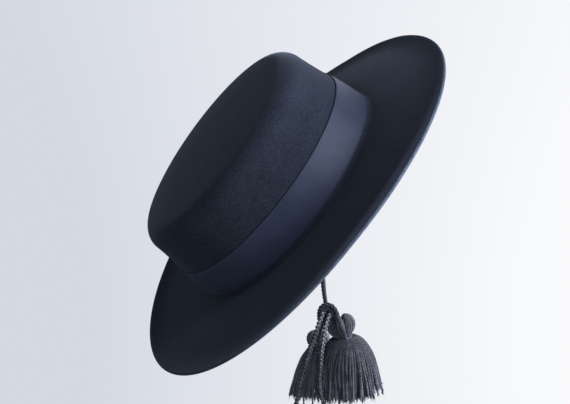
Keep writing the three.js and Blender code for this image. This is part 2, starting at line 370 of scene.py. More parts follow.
class Recipe:
    """A material's nodes, added and joined by short calls."""

    def __init__(self, name: str) -> None:
        """Starts a material with one Principled shader.

        Args:
            name: the material's name.
        """
        self.material = bpy.data.materials.new(name)
        self.material.use_nodes = True
        self.nodes = self.material.node_tree.nodes
        self.links = self.material.node_tree.links
        self.shader = self.nodes["Principled BSDF"]

    def add(self, kind: str, values: dict | None = None, **settings: str) -> bpy.types.Node:
        """Adds a node.

        Args:
            kind: the node's type, without its ShaderNode prefix.
            values: input names or numbers, and a value or an output socket for each.
            **settings: properties of the node.

        Returns:
            The new node.
        """
        node = self.nodes.new("ShaderNode" + kind)
        for key, value in settings.items():
            setattr(node, key, value)
        for key, value in (values or {}).items():
            self.put(node.inputs[key], value)
        return node

    def put(self, socket: bpy.types.NodeSocket, value: Value) -> None:
        """Links an output to a socket, or sets the socket's own value.

        Args:
            socket: an input.
            value: an output to link, or the value.
        """
        if isinstance(value, bpy.types.NodeSocket):
            self.links.new(value, socket)
        else:
            socket.default_value = value

    def shade(self, **values: Value) -> None:
        """Sets or links the shader's inputs, named with underscores for spaces."""
        for key, value in values.items():
            self.put(self.shader.inputs[key.replace("_", " ")], value)

    def maths(self, operation: str, *values: Value) -> bpy.types.NodeSocket:
        """Adds a Math node and returns its output."""
        return self.add("Math", dict(enumerate(values)), operation=operation).outputs[0]

    def object_places(self, stretch: tuple, turn: tuple = (0, 0, 0)) -> bpy.types.NodeSocket:
        """Object coordinates, turned and then stretched.

        Args:
            stretch: how many pattern units there are in a metre along each axis.
            turn: a turn about each axis, in radians.

        Returns:
            The coordinates' output.
        """
        places = self.add("TexCoord").outputs["Object"]
        values = {"Vector": places, "Rotation": turn, "Scale": stretch}
        return self.add("Mapping", values).outputs[0]

    def noise(self, places: bpy.types.NodeSocket, detail: float = 2.0) -> bpy.types.NodeSocket:
        """Adds Noise at a scale of one and returns its factor."""
        return self.add("TexNoise", {"Vector": places, "Scale": 1.0, "Detail": detail}).outputs[0]

    def between(
        self, factor: bpy.types.NodeSocket, low: tuple, high: tuple, span: tuple
    ) -> bpy.types.NodeSocket:
        """Colour that runs between two colours.

        Args:
            factor: what it follows.
            low: the colour at the start of the span.
            high: the colour at its end.
            span: the factor's start and end.

        Returns:
            The colour's output.
        """
        node = self.add("ValToRGB", {"Fac": factor})
        for stop, place, colour in zip(node.color_ramp.elements, span, (low, high)):
            stop.position = place
            stop.color = (*colour, 1)
        return node.outputs["Color"]

    def mixed(self, share: Value, first: Value, second: Value) -> bpy.types.NodeSocket:
        """Mixes two colours.

        Args:
            share: how much of the second there is.
            first: the first colour.
            second: the second colour.

        Returns:
            The mixture's output.
        """
        node = self.add("Mix", data_type="RGBA")
        # A Mix node's inputs for colours: the factor is 0, and A and B are 6 and 7.
        for index, value in ((0, share), (6, first), (7, second)):
            self.put(node.inputs[index], value)
        return node.outputs[2]

    def bump(
        self,
        height: bpy.types.NodeSocket,
        distance: float,
        strength: float,
        under: bpy.types.NodeSocket | None = None,
    ) -> bpy.types.NodeSocket:
        """Adds a Bump node.

        Args:
            height: what it follows.
            distance: how high it stands, in metres.
            strength: its share.
            under: the output of a Bump that it lies on.

        Returns:
            The normal's output.
        """
        values = {"Height": height, "Distance": distance, "Strength": strength}
        if under is not None:
            values["Normal"] = under
        return self.add("Bump", values).outputs[0]


@dataclass(frozen=True)
class FeltFinish:
    """Dense wool felt, brushed, with short fibres that lie in every direction."""

    dark: tuple = (0.011, 0.0138, 0.0215)
    light: tuple = (0.039, 0.0505, 0.0855)
    highlight_colour: tuple = (0.24, 0.29, 0.43)
    fibres_per_metre: float = 2600
    fibre_stretch: float = 5
    fibre_turns: tuple = ((0.3, 0.9, 0.2), (0.7, 0.2, 1.1), (1.2, 0.5, 0.6))
    grain_per_metre: float = 1250
    mottle_per_metre: float = 330
    cloud_per_metre: float = 45
    mottle_share: float = 0.12
    cloud_share: float = 0.1
    grain_share: float = 0.44
    fibre_share: float = 0.34
    span: tuple = (0.42, 0.63)
    grain_height: float = 0.3 * MM
    grain_bump: float = 0.42
    fibre_height: float = 0.18 * MM
    fibre_bump: float = 0.5
    roughness: float = 0.95
    gloss: float = 0.2
    sheen: float = 0.3
    sheen_roughness: float = 0.4
    sheen_tint: tuple = (0.62, 0.74, 1, 1)

    def material(self) -> bpy.types.Material:
        """Builds the material.

        Returns:
            The finished material.
        """
        make = Recipe("brushed_felt")
        fine, long = self.fibres_per_metre, self.fibres_per_metre / self.fibre_stretch
        stretches = (fine, long, fine), (long, fine, fine), (fine, fine, long)
        lays = [
            make.noise(make.object_places(stretch, turn))
            for stretch, turn in zip(stretches, self.fibre_turns)
        ]
        fibres = make.maths("MAXIMUM", make.maths("MAXIMUM", *lays[:2]), lays[2])
        grain = make.noise(make.object_places((self.grain_per_metre,) * 3), 4)
        cloud = make.noise(make.object_places((self.cloud_per_metre,) * 3), 3)
        mottle = make.noise(make.object_places((self.mottle_per_metre,) * 3), 3)
        mixed = make.maths("MULTIPLY", cloud, self.cloud_share)
        for pattern, share in (
            (mottle, self.mottle_share), (grain, self.grain_share), (fibres, self.fibre_share)
        ):  # fmt: skip
            mixed = make.maths("MULTIPLY_ADD", pattern, share, mixed)
        under = make.bump(grain, self.grain_height, self.grain_bump)
        colour = make.between(mixed, self.dark, self.light, self.span)
        # Painted highlight: a lighter colour mixed in at the brim's edge and the crown's far
        # shoulder, standing in for light that the felt's nap catches there.
        painted_light = make.between(mixed, self.light, self.highlight_colour, self.span)
        painted_highlight = make.add("Attribute", attribute_name="painted_highlight").outputs["Fac"]
        make.shade(
            Base_Color=make.mixed(painted_highlight, colour, painted_light),
            Roughness=self.roughness,
            Specular_IOR_Level=self.gloss,
            Sheen_Weight=self.sheen,
            Sheen_Roughness=self.sheen_roughness,
            Sheen_Tint=self.sheen_tint,
            Normal=make.bump(fibres, self.fibre_height, self.fibre_bump, under),
        )
        return make.material


@dataclass(frozen=True)
class RibbonFinish:
    """Woven ribbon with fine ribs across it and a soft sheen."""

    dark: tuple = (0.03, 0.038, 0.077)
    light: tuple = (0.038, 0.048, 0.096)
    rib_pitch: float = 0.9 * MM
    rib_height: float = 0.06 * MM
    rib_bump: float = 0.5
    warp_pitch: float = 0.45 * MM
    warp_height: float = 0.02 * MM
    warp_bump: float = 0.3
    cloud_per_metre: float = 60
    cloud_span: tuple = (0.35, 0.65)
    roughness: float = 0.5
    gloss: float = 0.4
    gloss_tint: tuple = (0.72, 0.82, 1, 1)
    sheen: float = 0.12
    sheen_roughness: float = 0.4
    sheen_tint: tuple = (0.6, 0.75, 1, 1)

    def material(self) -> bpy.types.Material:
        """Builds the material.

        Returns:
            The finished material.
        """
        make = Recipe("ribbed_ribbon")
        parts = make.add("SeparateXYZ", {0: make.add("UVMap", uv_map="UVMap").outputs[0]})
        along, across = parts.outputs[0], parts.outputs[1]
        ribs = make.maths("SINE", make.maths("MULTIPLY", along, FULL_TURN / self.rib_pitch))
        warp = make.maths("SINE", make.maths("MULTIPLY", across, FULL_TURN / self.warp_pitch))
        cloud = make.noise(make.object_places((self.cloud_per_metre,) * 3), 3)
        under = make.bump(ribs, self.rib_height, self.rib_bump)
        make.shade(
            Base_Color=make.between(cloud, self.dark, self.light, self.cloud_span),
            Roughness=self.roughness,
            Specular_IOR_Level=self.gloss,
            Specular_Tint=self.gloss_tint,
            Sheen_Weight=self.sheen,
            Sheen_Roughness=self.sheen_roughness,
            Sheen_Tint=self.sheen_tint,
            Normal=make.bump(warp, self.warp_height, self.warp_bump, under),
        )
        return make.material


@dataclass(frozen=True)
class StrandFinish:
    """Spun fibre that runs along cords, braids and yarn."""

    name: str
    dark: tuple
    light: tuple
    roughness: float
    sheen: float
    gloss: float = 0.3
    fibres_around: float = 9
    fibres_per_metre: float = 260
    fibre_turns_per_metre: float = 160
    fibre_height: float = 0.12 * MM
    fibre_bump: float = 0.7
    fibre_share: float = 0.4
    shade_share: float = 0.3
    cloud_per_metre: float = 180
    span: tuple = (0.3, 0.7)
    sheen_roughness: float = 0.45
    sheen_tint: tuple = (0.8, 0.84, 1, 1)

    def material(self) -> bpy.types.Material:
        """Builds the material.

        Returns:
            The finished material.
        """
        make = Recipe(self.name)
        parts = make.add("SeparateXYZ", {0: make.add("UVMap", uv_map="UVMap").outputs[0]})
        around = make.maths("MULTIPLY", parts.outputs[0], FULL_TURN)
        twist = FULL_TURN * self.fibre_turns_per_metre
        slant = make.maths("ADD", around, make.maths("MULTIPLY", parts.outputs[1], twist))
        radius = self.fibres_around / FULL_TURN
        ring = {
            0: make.maths("MULTIPLY", make.maths("COSINE", slant), radius),
            1: make.maths("MULTIPLY", make.maths("SINE", slant), radius),
            2: make.maths("MULTIPLY", parts.outputs[1], self.fibres_per_metre),
        }
        fibres = make.noise(make.add("CombineXYZ", ring).outputs[0], 4)
        # The shade attribute holds each strand's own tone and, on the braids and tassels, painted
        # light and shade.
        shade = make.add("Attribute", attribute_name="shade").outputs["Fac"]
        cloud = make.noise(make.object_places((self.cloud_per_metre,) * 3), 2)
        mixed = make.maths("MULTIPLY", make.maths("ADD", shade, cloud), self.shade_share)
        mixed = make.maths("ADD", mixed, make.maths("MULTIPLY", fibres, self.fibre_share))
        make.shade(
            Base_Color=make.between(mixed, self.dark, self.light, self.span),
            Roughness=self.roughness,
            Specular_IOR_Level=self.gloss,
            Sheen_Weight=self.sheen,
            Sheen_Roughness=self.sheen_roughness,
            Sheen_Tint=self.sheen_tint,
            Normal=make.bump(fibres, self.fibre_height, self.fibre_bump),
        )
        return make.material


@dataclass(frozen=True)
class TapeFinish:
    """Plain woven tape."""

    colour: tuple = (0.02, 0.024, 0.034)
    thread: float = 0.5 * MM
    thread_height: float = 0.08 * MM
    thread_bump: float = 0.6
    brighter: float = 1.6
    roughness: float = 0.85
    sheen: float = 0.2

    def material(self) -> bpy.types.Material:
        """Builds the material.

        Returns:
            The finished material.
        """
        make = Recipe("woven_tape")
        parts = make.add("SeparateXYZ", {0: make.add("TexCoord").outputs["Object"]})
        waves = [
            make.maths("SINE", make.maths("MULTIPLY", output, FULL_TURN / self.thread))
            for output in (parts.outputs[0], parts.outputs[2])
        ]
        weave = make.maths("MULTIPLY", *waves)
        bright = tuple(self.brighter * value for value in self.colour)
        make.shade(
            Base_Color=make.between(weave, self.colour, bright, (0, 1)),
            Roughness=self.roughness,
            Sheen_Weight=self.sheen,
            Normal=make.bump(weave, self.thread_height, self.thread_bump),
        )
        return make.material


@dataclass(frozen=True)
class BackdropFinish:
    """A plain pale floor and sweep that glow, painted lighter towards the light."""

    dark: tuple = (0.66, 0.69, 0.765)
    light: tuple = (0.95, 0.957, 0.978)
    scale: float = 0.32
    slant: float = 0.32
    contrast: float = 0.95
    middle: float = 0.46
    span: tuple = (0.1, 0.9)

    def material(self) -> bpy.types.Material:
        """Builds the material.

        Returns:
            The finished material.
        """
        make = Recipe("pale_backdrop")
        x, y, z = make.add("SeparateXYZ", {0: make.object_places((self.scale,) * 3)}).outputs
        side = make.maths("SUBTRACT", x, make.maths("MULTIPLY", y, self.slant))
        contrast = make.maths("MULTIPLY_ADD", z, -1.0, self.contrast)
        level = make.maths("MULTIPLY_ADD", side, contrast, self.middle)
        ramp = make.between(level, self.dark, self.light, self.span)
        # Painted light: the backdrop glows by its own emission and takes no light.
        make.shade(
            Base_Color=(0, 0, 0, 1),
            Specular_IOR_Level=0,
            Roughness=1,
            Emission_Color=ramp,
            Emission_Strength=1,
        )
        return make.material


@dataclass(frozen=True)
class SoftBox:
    """One large square soft light that looks at the hat."""

    name: str
    towards: tuple
    distance: float
    size: float
    power: float
    colour: tuple

    def build(self) -> None:
        """Adds the light."""
        data = bpy.data.lights.new(self.name, "AREA")
        data.size, data.energy, data.color = self.size, self.power, self.colour
        light = bpy.data.objects.new(self.name, data)
        direction = Vector(self.towards).normalized()
        light.location = direction * self.distance
        light.rotation_euler = direction.to_track_quat("Z", "Y").to_euler()
        bpy.context.scene.collection.objects.link(light)


@dataclass
class Studio:
    """Floor, lights and the camera at the photograph's angle."""

    eye: tuple = (-0.2565, -0.8008, 0.1988)
    right: tuple = (0.9523, -0.3050, 0)
    up: tuple = (0.0702, 0.2191, 0.9732)
    back: tuple = (-0.2968, -0.9268, 0.2300)
    focal_length: float = 65.18
    shift: tuple = (-0.0025, -0.0198)
    floor_level: float = -1.5
    floor_radius: float = 2.6
    sweep_radius: float = 0.9
    sweep_points: int = 13
    wall_height: float = 6
    floor_columns: int = 96
    room_colour: tuple = (0.86, 0.91, 1, 1)
    room_strength: float = 0.1
    soft_boxes: tuple[SoftBox, ...] = (
        SoftBox("over_brim", (0.57, -0.638, 0.518), 2.2, 1.0, 42, (0.95, 0.975, 1)),
        SoftBox("front", (1, -0.2, 0.15), 1.8, 1.3, 38, (0.95, 0.975, 1)),
        SoftBox("front_left", (0.8, 0.7, 0.3), 1.8, 1.3, 8, (0.9, 0.95, 1)),
        SoftBox("right", (0.1, -0.7, 0.8), 1.8, 1.3, 1.3, (0.9, 0.95, 1)),
        SoftBox("above", (-0.7, 0.2, 0.75), 1.8, 1.3, 1, (0.9, 0.95, 1)),
        SoftBox("rear", (-0.77, 0, -0.638), 2.2, 1.0, 2.6, (0.9, 0.95, 1)),
        SoftBox("far", (0.1, 0.95, 0.2), 1.8, 1.3, 3, (0.85, 0.95, 1)),
        SoftBox("near", (0.5, -0.85, 0.2), 1.8, 1.3, 2, (0.9, 0.95, 1)),
        SoftBox("near_left", (-0.4, -0.85, -0.3), 1.8, 1.3, 4, (0.95, 0.97, 1)),
    )

    def camera(self) -> None:
        """Places the camera."""
        data = bpy.data.cameras.new("camera")
        data.lens = self.focal_length
        data.shift_x, data.shift_y = self.shift
        camera = bpy.data.objects.new("camera", data)
        turn = Matrix((self.right, self.up, self.back)).transposed().to_4x4()
        camera.matrix_world = Matrix.Translation(self.eye) @ turn
        bpy.context.scene.collection.objects.link(camera)
        bpy.context.scene.camera = camera

    def backdrop(self) -> None:
        """Builds the floor, which rises into a round wall far behind the hat."""
        bm = bmesh.new()
        radius, sweep, floor = self.floor_radius, self.sweep_radius, self.floor_level
        bend = np.linspace(0, math.pi / 2, self.sweep_points)
        rim = [
            (radius + sweep * math.sin(a), 0, floor + sweep * (1 - math.cos(a))) for a in bend
        ]
        profile = [(0, 0, floor), *rim, (radius + sweep, 0, floor + self.wall_height)]
        verts = [bm.verts.new(place) for place in profile]
        for pair in zip(verts, verts[1:]):
            bm.edges.new(pair)
        full_spin(bm, self.floor_columns)
        bmesh.ops.remove_doubles(bm, verts=bm.verts, dist=1e-5)
        bmesh.ops.recalc_face_normals(bm, faces=bm.faces)
        mesh = bpy.data.meshes.new("floor")
        bm.to_mesh(mesh)
        bm.free()
        mesh.materials.append(BackdropFinish().material())
        mesh.shade_smooth()
        floor_piece = bpy.data.objects.new("floor", mesh)
        bpy.context.scene.collection.objects.link(floor_piece)
        floor_piece.visible_shadow = False
        floor_piece.visible_diffuse = False
        floor_piece.visible_glossy = False

    def lights(self) -> None:
        """Lights the hat softly, most from the upper right and the front."""
        world = bpy.data.worlds.new("white_room")
        world.use_nodes = True
        background = world.node_tree.nodes["Background"]
        background.inputs["Color"].default_value = self.room_colour
        background.inputs["Strength"].default_value = self.room_strength
        bpy.context.scene.world = world
        for box in self.soft_boxes:
            box.build()

    def build(self) -> None:
        """Sets up everything that isn't part of the hat."""
        bpy.context.scene.view_settings.view_transform = "Standard"
        self.camera()
        self.backdrop()
        self.lights()


@dataclass
class HatBlock:
    """The block that gives crown and brim their shape, in the hat's own frame."""

    crown_height: float = 79.5 * MM
    shoulder_radius: float = 13.8 * MM
    fillet_radius: float = 3.4 * MM
    brim_half_length: float = 174.1 * MM
    brim_half_width: float = 159.3 * MM
    brim_shift: float = -2.3 * MM
    brim_front_narrowing: float = 0.03
    edge_front: float = -14.9 * MM
    edge_side: float = 1.6 * MM
    edge_rear: float = 5.3 * MM
    brim_curve: float = 1.25
    edge_lift: float = 3 * MM
    lift_start: float = 0.7
    front_flat: float = 3.6 * MM
    front_flat_power: int = 14
    slump_start: float = 33.6 * MM
    top_tilt: float = 1.2 * MM
    top_dome: float = 1.9 * MM
    edge_waves: np.ndarray = field(
        default_factory=lambda: np.array([
            (-180, 0), (-150, 0.1), (-120, 0.6), (-90, 1.5), (-65, 0.7), (-40, 0), (-15, 0.4),
            (0, 1.2), (12, 1.6), (25, 0.8), (40, -1), (60, -0.7), (90, 0), (140, 0), (180, 0),
        ])
    )  # fmt: skip
    sections: np.ndarray = field(
        default_factory=lambda: millimetres(
            (0, 104, 86.7, 0), (33.5, 100.9, 83.8, -2.4), (64, 96.3, 80.3, -3.3),
            (79.5, 95.4, 78.8, -3.9),
        )
    )

    def __post_init__(self) -> None:
        """Fits a smooth curve to each column of the sections."""
        height = self.sections[:, 0]
        self.curves = [np.polyfit(height, column, 3) for column in self.sections[:, 1:].T]

    def oval(self, height: float) -> tuple[float, float, float]:
        """Half length, half width and shift of the crown's outer face at a height."""
        return tuple(float(np.polyval(curve, height)) for curve in self.curves)

    def crown(self, height: float, inset: float, angle: np.ndarray) -> np.ndarray:
        """Points round the crown.

        Args:
            height: above the brim.
            inset: how far inside the crown's wall.
            angle: the angles round the crown's axis.

        Returns:
            One point for each angle.
        """
        half_length, half_width, shift = self.oval(height)
        x = shift + (half_length - inset) * np.cos(angle) - self.flattening(height, angle)
        y = (half_width - inset) * np.sin(angle)
        return np.column_stack([x, y, height + self.slump(height, 1 - inset / half_length, angle)])

    def slump(self, height: float, share: float, angle: np.ndarray) -> np.ndarray:
        """How far the crown's top is tilted and domed, at a share of the way out."""
        fade = max(0.0, (height - self.slump_start) / (self.crown_height - self.slump_start))
        return fade * (self.top_tilt * share * np.cos(angle) - self.top_dome * share**2)

    def flattening(self, height: np.ndarray | float, angle: np.ndarray) -> np.ndarray:
        """How far the crown's front is pressed in, most at its foot."""
        share = np.clip(1 - height / (self.crown_height - self.shoulder_radius), 0, 1)
        return self.front_flat * share * np.maximum(np.cos(angle), 0) ** self.front_flat_power

    def top(self, share: float, angle: np.ndarray) -> np.ndarray:
        """Points on the crown's flat top.

        Args:
            share: the share of the way from its middle to the shoulder.
            angle: the angles round the crown's axis.

        Returns:
            One point for each angle.
        """
        half_length, half_width, shift = self.oval(self.crown_height)
        x = shift + share * (half_length - self.shoulder_radius) * np.cos(angle)
        y = share * (half_width - self.shoulder_radius) * np.sin(angle)
        reach = share * (1 - self.shoulder_radius / half_length)
        z = self.crown_height + self.slump(self.crown_height, reach, angle)
        return np.column_stack([x, y, z])

    def brim(self, reach: float, angle: np.ndarray) -> np.ndarray:
        """Points on the brim's upper face.

        Args:
            reach: how far out, from 0 at the crown to 1 at the edge.
            angle: the angles round the crown's axis.

        Returns:
            One point for each angle.
        """
        half_length, half_width, _ = self.oval(0)
        half_length += self.fillet_radius
        half_width += self.fillet_radius
        half_length += (self.brim_half_length - half_length) * reach
        half_width += (self.brim_half_width - half_width) * reach
        forward = np.cos(angle)
        middle = (self.edge_front + self.edge_rear) / 2
        tip = (self.edge_front - self.edge_rear) / 2
        edge = self.edge_side * (1 - forward**2) + middle * forward**2 + tip * forward
        degrees = np.degrees(np.arctan2(np.sin(angle), forward))
        edge = edge + MM * np.interp(degrees, *self.edge_waves.T)
        lift = max(0.0, (reach - self.lift_start) / (1 - self.lift_start)) ** 2
        flat = self.flattening(0, angle) * (1 - reach)
        return np.column_stack([
            self.brim_shift * reach + half_length * forward - flat,
            half_width * np.sin(angle) * (1 - self.brim_front_narrowing * reach * forward),
            (edge - self.edge_lift) * reach**self.brim_curve + self.edge_lift * lift,
        ])


@dataclass
class FeltBody:
    """Crown and brim, of one piece of felt, hollow and open below."""

    block: HatBlock
    thickness: float = 2.6 * MM
    columns: int = 288
    top_rows: int = 12
    shoulder_rows: int = 14
    wall_rows: int = 16
    fillet_rows: int = 7
    brim_rows: int = 34
    edge_rows: int = 9
    # These fields set the painted highlight: on the brim's edge, strongest on the wearer's right
    # where the light falls, and on the crown's far shoulder.
    highlight_start: float = 0.745
    highlight_narrowing: float = 0.2
    highlight_ease: float = 0.14
    lit_side: float = math.radians(-78)
    lit_spread: float = math.radians(42)
    least_highlight: float = 0.35
    crown_highlight: float = 0.36
    crown_highlight_start: float = 0.3
    inner_highlight: float = 0.3

    def outer_face(self, angle: np.ndarray) -> np.ndarray:
        """Places the outer face.

        Args:
            angle: the angles of its columns.

        Returns:
            Rows x columns x 3, from the middle of the crown's top to the brim's edge.
        """
        block = self.block
        height, shoulder, fillet = block.crown_height, block.shoulder_radius, block.fillet_radius
        rows = [block.top(share, angle) for share in np.linspace(0, 1, self.top_rows)[:-1]]
        for turn in np.linspace(math.pi / 2, 0, self.shoulder_rows):
            drop = shoulder * (1 - math.sin(turn))
            rows.append(block.crown(height - drop, shoulder * (1 - math.cos(turn)), angle))
        for level in np.linspace(height - shoulder, fillet, self.wall_rows)[1:]:
            rows.append(block.crown(level, 0, angle))
        for turn in np.linspace(0, math.pi / 2, self.fillet_rows)[1:-1]:
            level = fillet * (1 - math.sin(turn))
            rows.append(block.crown(level, -fillet * (1 - math.cos(turn)), angle))
        rows += [block.brim(reach, angle) for reach in np.linspace(0, 1, self.brim_rows)]
        return np.array(rows)

    def places(self) -> np.ndarray:
        """Places every row: outer face, rounded edge and inner face.

        Returns:
            Rows x columns x 3.
        """
        angle = np.arange(self.columns) / self.columns * FULL_TURN
        outer = self.outer_face(angle)
        outward = unit(np.gradient(outer, axis=0))
        around = np.roll(outer, -1, axis=1) - np.roll(outer, 1, axis=1)
        normal = unit(np.cross(outward, around))
        normal[0] = (0, 0, 1)
        half = self.thickness / 2
        edge = [
            outer[-1] + half * ((math.cos(turn) - 1) * normal[-1] + math.sin(turn) * outward[-1])
            for turn in np.linspace(0, math.pi, self.edge_rows)[1:-1]
        ]
        return np.concatenate([outer, edge, (outer - self.thickness * normal)[::-1]])

    def painted_highlight(self) -> np.ndarray:
        """How much painted highlight each place gets, from 0 to 1.

        The brim's edge gets it most on the wearer's right, where the light falls, and the crown's
        shoulder on the left, as a painted rim light.

        Returns:
            Rows x columns, as the places.
        """
        angle = np.arange(self.columns) / self.columns * FULL_TURN
        away = (angle - self.lit_side + math.pi) % FULL_TURN - math.pi
        right = np.exp(-((away / self.lit_spread) ** 2))
        start = self.highlight_start + self.highlight_narrowing * (1 - right)
        reach = np.linspace(0, 1, self.brim_rows)[:, None]
        ease = np.clip((reach - start) / self.highlight_ease, 0, 1)
        brim = ease**2 * (3 - 2 * ease) * (self.least_highlight + (1 - self.least_highlight) * right)
        # The crown's bands share four of their rows with the bands beside them.
        rows = np.arange(self.top_rows + self.shoulder_rows + self.wall_rows + self.fillet_rows - 4)
        shoulder = self.top_rows + self.shoulder_rows / 2
        painted_light = np.interp(rows, (self.top_rows / 2, self.top_rows, shoulder), (0, 1, 0))
        far = np.clip(self.crown_highlight_start - np.cos(away), 0, 1)
        crown = self.crown_highlight * painted_light[:, None] * far
        outer = np.concatenate([crown, brim])
        edge = np.broadcast_to(brim[-1], (self.edge_rows - 2, self.columns))
        return np.concatenate([outer, edge, self.inner_highlight * outer[::-1]])

    def mesh(self) -> bpy.types.Mesh:
        """Spins the profile round the crown's axis and presses it to the block.

        Returns:
            The felt's mesh.
        """
        places, painted_highlight = self.places(), self.painted_highlight()
        rows, columns = places.shape[:2]
        bm = bmesh.new()
        verts = [bm.verts.new((1, 0, row)) for row in range(rows)]
        for pair in zip(verts, verts[1:]):
            bm.edges.new(pair)
        full_spin(bm, columns)
        painted_light = bm.verts.layers.float.new("painted_highlight")
        for vert in bm.verts:
            turn = math.atan2(vert.co.y, vert.co.x) / FULL_TURN
            place = round(vert.co.z), round(turn * columns) % columns
            vert.co = places[place]
            vert[painted_light] = painted_highlight[place]
        bmesh.ops.remove_doubles(bm, verts=bm.verts, dist=1e-6)
        bmesh.ops.recalc_face_normals(bm, faces=bm.faces)
        bmesh.ops.rotate(bm, verts=bm.verts, matrix=LEANING)
        mesh = bpy.data.meshes.new("felt")
        bm.to_mesh(mesh)
        bm.free()
        return mesh

    def build(self) -> None:
        """Makes the piece."""
        finished_piece(
            "felt_body", self.mesh(), FeltFinish().material(), ("felt_crown_and_brim",)
        )


@dataclass
class RibbonBand:
    """A ribbon drawn round the crown's foot, its ends lapped and sewn on the wearer's left."""

    block: HatBlock
    width: float = 30 * MM
    length: float = 0.612
    thickness: float = 0.9 * MM
    foot: float = 3.6 * MM
    gap: float = 0.3 * MM
    lap_angle: float = math.radians(97)
    lap_turn: float = math.radians(9)
    columns: int = 360
    rows: int = 12
    lap_air: float = 0.1 * MM
    ripple: float = 0.12 * MM
    ripples: int = 5
    edge_radius: float = 0.3 * MM
    stitches: int = 7
    stitch_rows: tuple = (0.1, 0.9)
    stitch_turn: tuple = (-0.014, 0.008)
    stitch_rise: tuple = (-0.03, 0.03)
    stitch_sink: float = 0.02 * MM
    stitch_steps: int = 8
    thread_radius: float = 0.2 * MM

    def places(self, turn: np.ndarray, share: np.ndarray, lift: float = 0.0) -> np.ndarray:
        """Points on the ribbon's outer face.

        Args:
            turn: angles round the crown, from the hidden end of the ribbon.
            share: shares of the way up the ribbon.
            lift: how far above the ribbon's face.

        Returns:
            One point for each pair.
        """
        full = FULL_TURN + self.lap_turn
        ease = np.clip((turn - (full - 2 * self.lap_turn)) / self.lap_turn, 0, 1)
        over = ease**2 * (3 - 2 * ease) * (self.thickness + self.lap_air)
        outset = self.gap + self.thickness + over + lift
        outset = outset + self.ripple * np.sin(self.ripples * turn + 1) * share
        angle = self.lap_angle - self.lap_turn / 2 + turn
        level = self.foot + self.width * share
        length, width, shift = (np.polyval(curve, level) for curve in self.block.curves)
        x = shift + (length + outset) * np.cos(angle) - self.block.flattening(level, angle)
        return np.column_stack([x, (width + outset) * np.sin(angle), level])

    def band(self) -> bpy.types.Mesh:
        """Bends a flat strip round the crown and gives it its thickness.

        Returns:
            The ribbon's mesh.
        """
        bm = bmesh.new()
        bmesh.ops.create_grid(bm, x_segments=self.columns, y_segments=self.rows, size=0.5)
        uv = bm.loops.layers.uv.new("UVMap")
        for face in bm.faces:
            for loop in face.loops:
                x, y, _ = loop.vert.co
                loop[uv].uv = ((x + 0.5) * self.length, (y + 0.5) * self.width)
        flat = np.array([v.co for v in bm.verts]) + 0.5
        placed = self.places(flat[:, 0] * (FULL_TURN + self.lap_turn), flat[:, 1])
        for vert, place in zip(bm.verts, placed):
            vert.co = place
        bmesh.ops.recalc_face_normals(bm, faces=bm.faces)
        bmesh.ops.solidify(bm, geom=bm.faces[:], thickness=self.thickness)
        sharp = [e for e in bm.edges if e.is_manifold and e.calc_face_angle() > 1]
        rounded(bm, sharp, self.edge_radius, 2)
        bmesh.ops.rotate(bm, verts=bm.verts, matrix=LEANING)
        mesh = bpy.data.meshes.new("band")
        bm.to_mesh(mesh)
        bm.free()
        return mesh

    def stitching(self) -> bpy.types.Mesh:
        """Sews the lapped end down with small slanted stitches.

        Returns:
            The stitches' mesh.
        """
        points = self.stitch_steps + 1
        turn = FULL_TURN + self.lap_turn + np.linspace(*self.stitch_turn, points)
        arch = self.thread_radius * np.sin(np.linspace(0, math.pi, points)) - self.stitch_sink
        lines = []
        for share in np.linspace(*self.stitch_rows, self.stitches):
            level = share + np.linspace(*self.stitch_rise, points)
            lines.append(self.places(turn, level, arch))
        turned = np.array(lines) @ np.array(LEANING).T
        tube = Tube(6, self.stitch_steps)
        return tube.lay("stitches", turned, self.thread_radius, facing=(0, 1, 0))

    def build(self) -> None:
        """Makes the ribbon and its stitches."""
        band = finished_piece(
            "ribbon", self.band(), RibbonFinish().material(), ("ribbon_band",)
        )
        thread = THREAD_FINISH.material()
        stitches = finished_piece("ribbon_stitches", self.stitching(), thread)


CORD_FINISH = StrandFinish(
    "twisted_cord", (0.022, 0.025, 0.036), (0.075, 0.082, 0.112), roughness=0.7, sheen=0.3
)
BRAID_FINISH = StrandFinish(
    "braided_cord", (0.035, 0.039, 0.053), (0.4, 0.41, 0.5), roughness=0.42, sheen=0.3, gloss=0.5
)
YARN_FINISH = StrandFinish(
    "twisted_yarn", (0.035, 0.037, 0.051), (0.26, 0.268, 0.345), roughness=0.8, sheen=0.35
)
THREAD_FINISH = StrandFinish(
    "ribbon_thread", (0.02, 0.024, 0.04), (0.04, 0.05, 0.075), roughness=0.6, sheen=0.2
)


@dataclass(frozen=True)
class CordLay:
    """How a cord is twisted of plies, measured in the cord's own diameter."""

    plies: int = 3
    pitch: float = 2.9
    ply_radii_across: float = 4.31
    ply_fullness: float = 1.06
    sides: int = 8
    steps_in_turn: int = 14
    least_steps: int = 8

    def cord(
        self, name: str, route: np.ndarray, diameter: float, shade: float = 0.5
    ) -> tuple[bpy.types.Mesh, np.ndarray]:
        """Makes a cord along a route.

        Args:
            name: the mesh's name.
            route: the points that it passes through.
            diameter: across the whole cord.
            shade: how light it is: about 0 for dark, 1 for light.

        Returns:
            The mesh and the cord's middle line.
        """
        pitch, ply = self.pitch * diameter, diameter / self.ply_radii_across
        turns = line_length(smooth_line(route, FINE_POINTS)) / pitch
        steps = max(self.least_steps, round(turns * self.steps_in_turn))
        line = smooth_line(route, steps + 1)
        plies = twisted_plies(line, self.plies, diameter / 2 - ply, pitch)
        shades = np.full(self.plies, shade)
        return Tube(self.sides, steps).lay(name, plies, self.ply_fullness * ply, shade=shades), line


CORD_LAY = CordLay()


